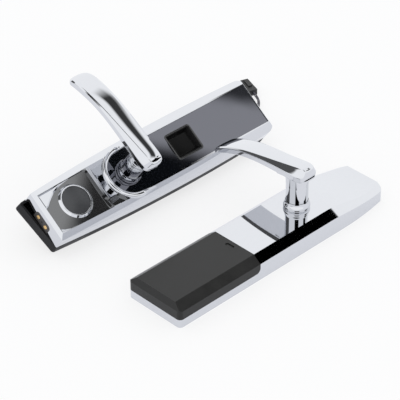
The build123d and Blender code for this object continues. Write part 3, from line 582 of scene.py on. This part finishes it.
bmesh.ops.create_grid(floor_form, x_segments=1, y_segments=1, size=floor_half)
bmesh.ops.translate(floor_form, verts=floor_form.verts, vec=(0, 0, -floor_drop))
floor = make_piece(floor_form, "floor", floor_paint)

# Room: even white light all round. What polished metal mirrors is a white tent with cards hung in it,
# each given by the bearing of its middle from +X, its height above the horizon, its half width and half
# height, all in degrees, then the softness of its edge as a share of its size and its brightness.
cards = (
    (-46.5, 39.2, 15.2, 11.3, 0.03, 0.0),
    (-25.4, 45.6, 3.4, 1.8, 0.1, 0.1),
    (116.0, 34.0, 29.0, 15.0, 0.12, 0.10),
    (-133.0, 36.0, 20.0, 14.0, 0.15, 0.0),
    (-6.0, 54.5, 22.0, 4.2, 0.35, 0.05),
    (0.0, 81.0, 190.0, 9.0, 0.2, 0.05),
)
tent_light = 1.12
room = bpy.data.worlds.new("room")
bpy.context.scene.world = room
room.use_nodes = True
room_tree = room.node_tree
room_tree.nodes.clear()


def room_node(kind, **inputs):
    node = room_tree.nodes.new(kind)
    for name, value in inputs.items():
        slot = node.inputs[name.replace("_", " ")]
        if isinstance(value, bpy.types.NodeSocket):
            room_tree.links.new(value, slot)
        else:
            slot.default_value = value
    return node


def room_math(kind, first, second=0.0):
    step = room_tree.nodes.new("ShaderNodeMath")
    step.operation = kind
    for slot, value in zip(step.inputs, (first, second)):
        if isinstance(value, bpy.types.NodeSocket):
            room_tree.links.new(value, slot)
        else:
            slot.default_value = value
    return step.outputs[0]


way = room_node("ShaderNodeSeparateXYZ", Vector=room_node("ShaderNodeTexCoord").outputs["Generated"])
bearing = room_math("DEGREES", room_math("ARCTAN2", way.outputs["Y"], way.outputs["X"]))
height = room_math("DEGREES", room_math("ARCSINE", way.outputs["Z"]))
tent = tent_light
for middle, rise, half_wide, half_high, softness, bright in cards:
    turned = room_tree.nodes.new("ShaderNodeMath")
    turned.operation = "WRAP"
    room_tree.links.new(room_math("SUBTRACT", bearing, middle), turned.inputs[0])
    turned.inputs[1].default_value = 180.0
    turned.inputs[2].default_value = -180.0
    spot = room_node("ShaderNodeCombineXYZ", X=turned.outputs[0], Y=room_math("SUBTRACT", height, rise))
    face = room_tree.nodes.new("ShaderNodeMapping")
    face.vector_type = "TEXTURE"
    face.inputs["Scale"].default_value = (half_wide, half_high, 1)
    room_tree.links.new(spot.outputs["Vector"], face.inputs["Vector"])
    sides = room_node("ShaderNodeSeparateXYZ", Vector=face.outputs["Vector"])
    share = 1.0
    for side in (sides.outputs["X"], sides.outputs["Y"]):
        edge = room_node(
            "ShaderNodeMapRange",
            Value=room_math("ABSOLUTE", side),
            From_Min=1.0 + softness,
            From_Max=1.0 - softness,
        )
        edge.interpolation_type = "SMOOTHSTEP"
        share = room_math("MULTIPLY", edge.outputs["Result"], share)
    hung = room_node("ShaderNodeMix", Factor=share, A=tent, B=bright)
    tent = hung.outputs["Result"]
rays = room_node("ShaderNodeLightPath")
mirrored = room_node("ShaderNodeBackground", Color=(0.99, 1.0, 1.015, 1), Strength=tent)
even = room_node("ShaderNodeBackground", Color=(1, 1, 1, 1), Strength=1.0)
pick = room_tree.nodes.new("ShaderNodeMixShader")
room_tree.links.new(rays.outputs["Is Glossy Ray"], pick.inputs["Fac"])
room_tree.links.new(even.outputs[0], pick.inputs[1])
room_tree.links.new(mirrored.outputs[0], pick.inputs[2])
room_node("ShaderNodeOutputWorld", Surface=pick.outputs[0])

# Camera at the photograph's place, fitted to it together with the set's proportions.
# Bearing, height and roll of the view are written in degrees.
bpy.context.scene.view_settings.view_transform = "Standard"
view_bearing = radians(-44.23)
view_height = radians(35.16)
view_roll = radians(-0.336)
view_from = Vector((-1.17104, -1.06697, 1.14707))
back = Vector((sin(view_bearing) * cos(view_height), -cos(view_bearing) * cos(view_height), sin(view_height)))
level = Vector((cos(view_bearing), sin(view_bearing), 0))
right = level * cos(view_roll) + back.cross(level) * sin(view_roll)
lens = bpy.data.cameras.new("camera")
lens.sensor_width = 36.0
lens.lens = 177.63
lens.clip_end = 50.0
camera = bpy.data.objects.new("camera", lens)
view_turn = Matrix((right, back.cross(right), back)).transposed().to_4x4()
camera.matrix_world = Matrix.Translation(view_from) @ view_turn
bpy.context.scene.collection.objects.link(camera)
bpy.context.scene.camera = camera
